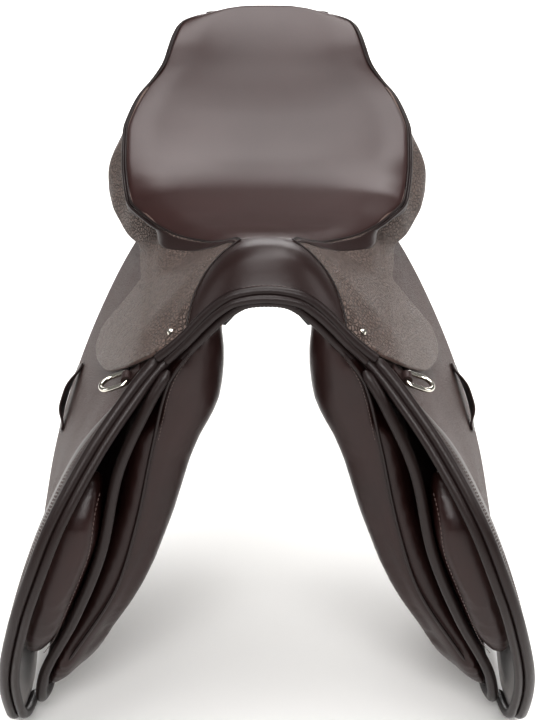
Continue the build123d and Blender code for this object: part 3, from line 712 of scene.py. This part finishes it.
class SADDLE_OT_pommel(bpy.types.Operator):
    """Covers the head and rolls its lip"""
    bl_idname = "saddle.pommel"
    bl_label = "Pommel"
    bl_options = {"REGISTER", "UNDO"}

    def execute(self, context):
        hood = grid("pommel_cover", hood_point, 48, 30)
        face_towards(hood, (0, -0.3, 1))
        wear(hood, "smooth_leather")
        sheet_of(hood, 2.6)
        soften(hood)
        settle(hood, "saddle", "smooth_leather", "pommel_cover")
        seams = [tube(f"pommel_seam_{side}", [hood_point(0.5 + sign * 0.5, k / 14)
                                              + Vector((sign * 0.6, 0, 0.2)) for k in range(14)],
                      0.75, sides=3, samples=60) for side, sign in SIDES]
        wear(joined(seams, "pommel_seams"), "edge_leather")
        soften(seams[0])
        settle(seams[0], "saddle", "edge_leather")
        self.rolls()
        lip = [hood_point(0.04 + 0.92 * k / 20, 0.93) + Vector((0, -0.8, 0.6)) for k in range(21)]
        row = stitches("pommel_stitches", lip, (0, -0.6, 0.8))
        wear(row, "thread")
        settle(row, "saddle", "edge_leather")
        return {"FINISHED"}

    def rolls(self):
        """Two rolls round the lip and a gathered binding under them."""
        def pleats(share):
            return 1 + 0.09 * math.sin(share * 330) * ramp(1 - abs(share - 0.5) / 0.3)
        lines = ((-209, 0.03, ((0, 103), (26, 99.5), (40, 91.5), (54, 78), (68, 62), (81, 49),
                               (94, 38)), 4.3, None),
                 (-213, 0.0, ((0, 97.3), (26, 93.5), (40, 84.5), (54, 70.5), (68, 54.5), (77, 45),
                              (86, 36)), 4.0, None),
                 (-211, 0.0, ((0, 92.2), (18, 90), (32, 81), (44, 69.5), (55, 57), (64, 47),
                              (72, 38)), 3.6, pleats))
        made = []
        for row, (y, lean, half, radius, wave) in enumerate(lines):
            points = [(-x, y - lean * x, z) for x, z in reversed(half[1:])]
            points += [(x, y - lean * x, z) for x, z in half]
            made.append(tube(f"pommel_roll_{row + 1}", points, radius, sides=5, samples=150,
                             wave=wave))
        wear(joined(made, "pommel_rolls"), "edge_leather")
        soften(made[0])
        settle(made[0], "saddle", "edge_leather", "pommel_rolls")


class SADDLE_OT_skirts(bpy.types.Operator):
    """Cuts the grained skirts, each with a lifting lobe"""
    bl_idname = "saddle.skirts"
    bl_label = "Skirts"
    bl_options = {"REGISTER", "UNDO"}

    def execute(self, context):
        sizes = context.scene.saddle_sizes
        for side, sign in SIDES:
            self.top(side, sign, sizes)
            self.lobe(side, sign, sizes)
        return {"FINISHED"}

    def top(self, side, sign, sizes):
        stations = (-204, -196, -188, -175, -160, -150, -140, -110, -70, -20, 20, 55, 80, 100, 125,
                    145, 168)
        upper = [(y, edge_height(y) - 2 + 9 * ramp((-y - 180) / 15)) for y in stations]
        lower = [(y, fold_z(y)) for y in (-206, -190, -170, -150, -130, -110, -80, -50, -20, 10)]
        lower += [(24, 19)] + STRIP_LOWER
        region = patch(upper, lower, [upper[0], lower[0]], [upper[-1], lower[-1]])

        def place(u, v):
            y, z = region(u, v)
            return (sign * skirt_x(y, z), y, z)
        skirt = grid(f"skirt_top_{side}", place, 110, 16)
        face_towards(skirt, (sign, 0, 0.5))
        wear(skirt, "grain_leather", "cut_edge")
        crease_where(skirt, lambda p: abs(p.z - fold_z(p.y)) < 0.6 and p.y < 22)
        sheet_of(skirt, sizes.skirt_thick, rim=1)
        soften(skirt)
        settle(skirt, "saddle", "grain_leather", f"skirt_top_{side}")

    def lobe(self, side, sign, sizes):
        upper = [(y, fold_z(y)) for y in (-206, -160, -110, -70, -42)]
        region = patch(upper, LOBE_FOOT, [upper[0], LOBE_FOOT[0]], LOBE_REAR)

        def place(u, v):
            y, z = region(u, v)
            return (sign * skirt_x(y, z), y, z)
        lobe = grid(f"skirt_{side}", place, 60, 26)
        in_edit_mode(lobe, lambda: bpy.ops.mesh.remove_doubles(threshold=0.0004))
        face_towards(lobe, (sign, 0, 0.5))
        wear(lobe, "grain_leather", "cut_edge")
        crease_where(lobe, lambda p: abs(p.z - fold_z(p.y)) < 0.6)
        sheet_of(lobe, sizes.skirt_thick, rim=1)
        soften(lobe)
        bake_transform(lobe)
        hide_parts(f"skirt_{side}")


class SADDLE_OT_flaps(bpy.types.Operator):
    """Cuts the flaps with their pads, rolled edges and keepers"""
    bl_idname = "saddle.flaps"
    bl_label = "Flaps"
    bl_options = {"REGISTER", "UNDO"}

    def execute(self, context):
        sizes = context.scene.saddle_sizes
        for side, sign in SIDES:
            self.flap(side, sign, sizes)
            self.pad(side, sign)
            self.rolls(side, sign, sizes)
            self.keeper(side, sign)
        return {"FINISHED"}

    def flap(self, side, sign, sizes):
        top = [(-202, 50), (-120, 48), (-20, 44), (84, 40)]
        region = patch(top, FLAP_FOOT, FLAP_FRONT, FLAP_REAR)

        def place(u, v):
            y, z = region(u, v)
            return (sign * side_x(y, z), y, z)
        flap = grid(f"flap_{side}", place, 72, 84)
        face_towards(flap, (sign, 0, 0.5))
        wear(flap, "flap_leather", "suede_lining")
        self.cut_for_bar(flap)
        sheet_of(flap, sizes.flap_thick, back=1)
        soften(flap)
        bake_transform(flap)
        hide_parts(f"flap_{side}", f"flap_top_{side}")

    def cut_for_bar(self, flap):
        """Opens the flap over the stirrup bar."""
        for face in flap.data.polygons:
            _, y, z = face.center / MM
            face.select = -172 < y < -64 and fold_z(y) - 36 < z < fold_z(y) + 2
        chosen = [face.index for face in flap.data.polygons if face.select]
        only(flap)
        bpy.ops.object.mode_set(mode="EDIT")
        bpy.ops.mesh.select_mode(type="FACE")
        bpy.ops.mesh.select_all(action="DESELECT")
        bpy.ops.object.mode_set(mode="OBJECT")
        for index in chosen:
            flap.data.polygons[index].select = True
        bpy.ops.object.mode_set(mode="EDIT")
        bpy.ops.mesh.delete(type="FACE")
        bpy.ops.mesh.select_mode(type="VERT")
        bpy.ops.object.mode_set(mode="OBJECT")

    def pad(self, side, sign):
        front = [(y + 5, z) for y, z in FLAP_FRONT[2:]]
        top = [front[0], PAD_REAR[0]]
        foot = [front[-1], (-190, -350), (-165, -356), PAD_REAR[-1]]
        region = patch(top, foot, front, PAD_REAR)

        def place(u, v):
            y, z = region(u, v)
            swell = 3.2 * math.sin(math.pi * min(1, max(0, u))) ** 0.7
            swell *= math.sin(math.pi * min(1, max(0, v))) ** 0.3
            return (sign * (side_x(y, z) + 1.8 + swell), y, z)
        pad = grid(f"flap_pad_{side}", place, 18, 70)
        face_towards(pad, (sign, 0, 0.2))
        wear(pad, "smooth_leather")
        sheet_of(pad, 1.5)
        soften(pad)
        settle(pad, f"flap_{side}", "smooth_leather", f"flap_pad_{side}")
        for row, share in enumerate((0.16, 0.24)):
            line = []
            for k in range(25):
                y, z = region(share, 0.03 + 0.95 * k / 24)
                swell = 3.2 * math.sin(math.pi * share) ** 0.7
                line.append((sign * (side_x(y, z) + 2.2 + swell), y, z))
            thread = stitches(f"flap_stitches_{side}_{row + 1}", line, (sign, 0, 0.3), pitch=3.4,
                              length=2.4, width=0.7)
            wear(thread, "thread")
            settle(thread, f"flap_{side}", "smooth_leather")

    def rolls(self, side, sign, sizes):
        made = []
        for row, (shift, forward, radius) in enumerate(((0.8, 1.5, 1.0), (-8.6, 1.0, 0.9))):
            points = [(sign * (side_x(y, z) + shift), y - forward, z) for y, z in FLAP_FRONT[1:]]
            points += [(sign * (side_x(y, z) + shift), y + 1, z + 1) for y, z in FLAP_FOOT[1:3]]
            made.append(tube(f"flap_roll_{side}_{row + 1}", points, sizes.roll * radius,
                             sides=5, samples=90))
        roll = joined(made, f"flap_rolls_{side}")
        wear(roll, "edge_leather")
        soften(roll)
        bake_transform(roll)
        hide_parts(f"flap_edge_{side}")

    def keeper(self, side, sign):
        head, tail = Vector((30, -110)), Vector((-4, -158))
        along = (tail - head).normalized()
        across = Vector((-along.y, along.x))

        def place(u, v):
            middle = head + (tail - head) * (-0.06 + 1.12 * v)
            y, z = middle + across * 12 * (2 * u - 1)
            reach = ramp((y - middle.x + 12) / 24)
            bulge = ramp(math.sin(math.pi * min(1, max(0, v * 1.12 - 0.06))))
            lift = 0.8 + (9.0 - 7.0 * reach) * bulge
            return (sign * (side_x(y, z) + lift + 2.4), y, z)
        strap = grid(f"keeper_{side}", place, 8, 26)
        face_towards(strap, (sign, 0, 0.2))
        wear(strap, "smooth_leather")
        sheet_of(strap, 2.4)
        soften(strap)
        settle(strap, f"flap_{side}", "smooth_leather", f"keeper_{side}")


class SADDLE_OT_underside(bpy.types.Operator):
    """Makes sweat flaps, knee blocks, panels, the cantle's back and the lining below it"""
    bl_idname = "saddle.underside"
    bl_label = "Underside"
    bl_options = {"REGISTER", "UNDO"}

    def execute(self, context):
        for side, sign in SIDES:
            self.sweat_flap(side, sign)
            self.knee_block(side, sign)
            self.panel(side, sign)
        self.edges()
        self.cantle()
        self.seat_underside()
        return {"FINISHED"}

    def sweat_flap(self, side, sign):
        top = [(-214, 30), (-196, 22), (-184, -8), (-130, -11), (-80, -9), (-66, 12), (88, 12)]
        region = patch(top, SWEAT_FOOT, SWEAT_FRONT, SWEAT_REAR)

        def place(u, v):
            y, z = region(u, v)
            return (sign * sweat_x(y, z), y, z)
        flap = grid(f"sweat_flap_{side}", place, 60, 64)
        face_towards(flap, (sign, 0, 0.3))
        wear(flap, "smooth_leather")
        sheet_of(flap, 3.8)
        soften(flap)
        settle(flap, "saddle", "smooth_leather", f"sweat_flap_{side}")

    def edges(self):
        """Rolls along the sweat flaps and the welts of the panels."""
        made = []
        for side, sign in SIDES:
            points = [(sign * (sweat_x(y, z) - 2), y - 3.0, z) for y, z in SWEAT_FRONT]
            points += [(sign * (sweat_x(y, z) - 2), y, z) for y, z in SWEAT_FOOT[1:3]]
            made.append(tube(f"sweat_roll_{side}", points, 5.0, sides=5, samples=90))
        roll = joined(made, "sweat_rolls")
        wear(roll, "edge_leather")
        soften(roll)
        settle(roll, "saddle", "edge_leather", "sweat_edges")
        made = []
        for side, sign in SIDES:
            points = [(sign * x, -218.5, z) for z, x in PANEL_WELT[1:-1]]
            made.append(tube(f"panel_welt_{side}", points, 1.6, sides=3, samples=70))
        welt = joined(made, "panel_welts")
        wear(welt, "edge_leather")
        soften(welt)
        settle(welt, "saddle", "edge_leather", "panel_welts")

    def knee_block(self, side, sign):
        half_y = [(-266, 6), (-256, 16), (-225, 26), (-160, 31), (-110, 28), (-82, 18), (-66, 6)]
        middle_y = [(-266, -214), (-220, -226), (-160, -232), (-110, -234), (-66, -226)]

        def place(u, v):
            z = -66 - 200 * v
            turn = 2 * math.pi * u
            y = smooth(middle_y, z) + smooth(half_y, z) * spread(math.cos(turn), 0.75)
            outer = side_x(y, z) - 7
            inner = min(outer - 4, sweat_x(y, z) + 5)
            bulge = spread(math.sin(turn), 0.6)
            end = math.sqrt(max(0.0, 1 - abs(2 * v - 1) ** 6))
            x = (outer + inner) / 2 + (outer - inner) / 2 * bulge * end
            return (sign * x, y, z)
        block = grid(f"knee_block_{side}", place, 40, 44)
        close_and_cap(block)
        wear(block, "panel_leather")
        inflate(block, cap=2.5)
        soften(block, 60)
        settle(block, "saddle", "panel_leather", f"knee_block_{side}")
        line = []
        for k in range(20):
            z = -76 - 180 * k / 19
            y = smooth(middle_y, z) - smooth(half_y, z) * 0.9
            line.append((sign * (sweat_x(y, z) + 9), y - 3.2, z))
        thread = stitches(f"knee_stitches_{side}", line, (0, -1, 0.1))
        wear(thread, "thread")
        settle(thread, "saddle", "panel_leather")

    def panel(self, side, sign):
        front_y, rear_y = -218.0, 238.0

        def place(u, v):
            y = front_y + (rear_y - front_y) * v ** 1.25
            nose = min(1.0, (y - front_y) / 42)
            tail = min(1.0, (rear_y - y) / 30)
            full = math.sqrt(1 - (1 - nose) ** 2) * math.sqrt(max(0.0, 1 - (1 - tail) ** 2))
            top = smooth(PANEL_TOP, y) + 26 * ramp((-y - 160) / 30)
            foot = smooth(PANEL_FOOT, y)
            foot += (top - foot) * 0.1 * (1 - full)
            turn = 2 * math.pi * u
            share = 0.5 + 0.5 * spread(math.cos(turn), 0.55)
            z = foot + (top - foot) * share
            outer, inner = panel_outer(y, z) - 0.6, max(CHANNEL_HALF, panel_inner(y, z))
            point = ramp((-y - 140) / 25) * ramp((z + 30) / 30)
            outer = max(outer, outer + (smooth(PANEL_WELT, z) + 4 - outer) * point)
            inner = max(inner, inner + (CHANNEL_HALF + smooth(FRONT_ROLL, z) - inner) * point)
            ridge = smooth(PANEL_WELT, z) if y < 0 else (outer + inner) / 2
            ridge = min(outer, max(inner, ridge))
            side_share = spread(math.sin(turn), 0.32)
            reach = outer - ridge if side_share > 0 else ridge - inner
            x = ridge + reach * side_share * (full ** 0.45 if side_share > 0 else full)
            under = smooth(NOSE_TOP, x) + 200 * ramp((y + 190) / 60)
            return (sign * x, y + 8 * ramp((z - 20) / 40) * ramp((-y - 190) / 20), min(z, under))
        panel = grid(f"panel_{side}", place, 72, 84)
        close_and_cap(panel)
        wear(panel, "panel_leather")
        inflate(panel, cap=3.5)
        soften(panel, 60)
        settle(panel, "saddle", "panel_leather", f"panel_{side}")
        line = [(sign * (smooth(PANEL_WELT, z) - 4), -217.5 + 8 * ramp((z - 20) / 40), z)
                for z in range(44, -44, -6)]
        thread = stitches(f"panel_stitches_{side}", line, (0, -1, 0.1), pitch=3.6, length=2.5,
                          width=0.8)
        wear(thread, "thread")
        settle(thread, "saddle", "panel_leather")

    def cantle(self):
        def place(u, v):
            across = 2 * u - 1
            z = 106 + 74 * v
            x = (90 - 30 * v ** 1.5) * across
            return (x, 239 - 20 * (x / 90) ** 2 - 3 * (v - 0.5) ** 2, z)
        back = grid("cantle_facing", place, 40, 18)
        face_towards(back, (0, 1, 0))
        wear(back, "smooth_leather")
        sheet_of(back, 3.6)
        soften(back)
        settle(back, "saddle", "smooth_leather", "cantle_facing")

    def seat_underside(self):
        """Lining from the seat's edge in to the panels, which hides the foam from behind."""
        for side, sign in SIDES:
            def place(u, v):
                y = 60 + 172 * u
                edge, high = edge_half(y) - 8, edge_height(y) - 9
                low = smooth(PANEL_TOP, y) - 4
                inner = max(CHANNEL_HALF, panel_outer(y, low) - 6)
                return (sign * (edge + (inner - edge) * v), y, high + (low - high) * v ** 1.3)
            lining = grid(f"seat_underside_{side}", place, 48, 14)
            face_towards(lining, (sign, 0, -0.6))
            wear(lining, "smooth_leather")
            sheet_of(lining, 2.0)
            soften(lining)
            settle(lining, "saddle", "smooth_leather")


def inflate(piece, cap, voxel=5.0, frames=20):
    """Blows up a closed leather form as its stuffing does, each point by at most the cap."""
    modify(piece, "REMESH", mode="VOXEL", voxel_size=voxel * MM)
    cut = [vertex.co.copy() for vertex in piece.data.vertices]
    cloth = piece.modifiers.new("Cloth", "CLOTH")
    cloth.settings.use_pressure = True
    cloth.settings.uniform_pressure_force = 4.0
    cloth.settings.tension_stiffness = 40.0
    cloth.settings.effector_weights.gravity = 0.0
    for frame_number in range(1, frames + 1):
        bpy.context.scene.frame_set(frame_number)
    bodies = bpy.context.evaluated_depsgraph_get()
    blown = [vertex.co.copy() for vertex in piece.evaluated_get(bodies).data.vertices]
    piece.modifiers.remove(cloth)
    bpy.context.scene.frame_set(1)
    for vertex, start, end in zip(piece.data.vertices, cut, blown):
        move = end - start
        if move.length > cap * MM:
            move = move.normalized() * cap * MM
        vertex.co = start + move
    modify(piece, "SUBSURF", levels=1, render_levels=1)


def spread(value, power):
    """Signed power, to square up a round section."""
    return math.copysign(abs(value) ** power, value)


# Softboxes: name, place, aim and size in metres, power in watts
SOFTBOXES = (
    ("softbox_top", (0.12, 0.3, 2.3), (0, 0.05, 0.0), (1.3, 3.2), 85),
    ("softbox_back", (0.1, 3.2, 0.42), (0, 0, 0.0), (1.7, 1.5), 60),
    ("softbox_left", (-2.4, -0.5, 0.9), (0, 0, -0.1), (1.0, 1.6), 14),
    ("softbox_right", (2.4, -0.4, 1.1), (0, 0, -0.1), (1.0, 1.6), 22),
    ("softbox_front", (0, -2.8, 2.1), (0, -0.1, -0.35), (2.6, 0.8), 110),
)
FLOOR_GAP = 0.004
CAMERA_RISE = math.radians(30)
CAMERA_DISTANCE = 2.2
CAMERA_CENTRE = Vector((0.0033, 0.0, -0.085))
LENS_MM = 115


class SADDLE_OT_stage(bpy.types.Operator):
    """Lays the floor and sets the lights and the camera"""
    bl_idname = "saddle.stage"
    bl_label = "Stage"
    bl_options = {"REGISTER", "UNDO"}

    def execute(self, context):
        floor_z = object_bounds()[0][2] - FLOOR_GAP
        bpy.ops.object.select_all(action="DESELECT")
        bpy.ops.mesh.primitive_plane_add(size=40, location=(0, 0, floor_z))
        floor = bpy.context.active_object
        floor.name = "floor"
        material, _, shader = new_material("pale_floor")
        shader.inputs["Base Color"].default_value = linear("#f6f5f3")
        shader.inputs["Roughness"].default_value = 0.9
        floor.data.materials.append(material)
        floor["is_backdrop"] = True
        for softbox in SOFTBOXES:
            self.light(*softbox)
        bpy.context.scene.view_settings.view_transform = "Standard"
        bpy.context.scene.view_settings.gamma = 0.78
        world = bpy.data.worlds.new("studio")
        bpy.context.scene.world = world
        world.use_nodes = True
        world.node_tree.nodes["Background"].inputs[0].default_value = (1, 1, 1, 1)
        world.node_tree.nodes["Background"].inputs[1].default_value = 0.3
        self.camera()
        return {"FINISHED"}

    def light(self, name, place, target, size, power):
        data = bpy.data.lights.new(name, "AREA")
        data.shape = "RECTANGLE"
        data.size, data.size_y = size
        data.energy = power
        lamp = bpy.data.objects.new(name, data)
        bpy.context.collection.objects.link(lamp)
        lamp.location = place
        aim = Vector(target) - Vector(place)
        lamp.rotation_euler = aim.to_track_quat("-Z", "Y").to_euler()

    def camera(self):
        data = bpy.data.cameras.new("camera")
        data.lens = LENS_MM
        camera = bpy.data.objects.new("camera", data)
        bpy.context.collection.objects.link(camera)
        away = Vector((0, -math.cos(CAMERA_RISE), math.sin(CAMERA_RISE)))
        camera.location = CAMERA_CENTRE + away * CAMERA_DISTANCE
        camera.rotation_euler = (-away).to_track_quat("-Z", "Y").to_euler()
        bpy.context.scene.camera = camera


OPERATORS = (SADDLE_OT_finishes, SADDLE_OT_frame_finishes, SADDLE_OT_seat, SADDLE_OT_pommel,
             SADDLE_OT_skirts, SADDLE_OT_flaps, SADDLE_OT_underside, SADDLE_OT_stage)


class SADDLE_PT_panel(bpy.types.Panel):
    """Lists the saddle's pieces and sizes"""
    bl_label = "Saddle"
    bl_idname = "SADDLE_PT_panel"
    bl_space_type = "VIEW_3D"
    bl_region_type = "UI"
    bl_category = "Saddle"

    def draw(self, context):
        for group in (context.scene.saddle_sizes, context.scene.saddle_colours):
            for key in group.__annotations__:
                self.layout.prop(group, key)
        for operator in OPERATORS:
            self.layout.operator(operator.bl_idname)


CLASSES = (SaddleSizes, SaddleColours, *OPERATORS, SADDLE_PT_panel)


def register():
    for each in CLASSES:
        bpy.utils.register_class(each)
    bpy.types.Scene.saddle_sizes = bpy.props.PointerProperty(type=SaddleSizes)
    bpy.types.Scene.saddle_colours = bpy.props.PointerProperty(type=SaddleColours)


def unregister():
    del bpy.types.Scene.saddle_sizes
    del bpy.types.Scene.saddle_colours
    for each in reversed(CLASSES):
        bpy.utils.unregister_class(each)


def main():
    register()
    for operator in OPERATORS:
        group, name = operator.bl_idname.split(".")
        getattr(getattr(bpy.ops, group), name)()


if __name__ == "__main__":
    main()
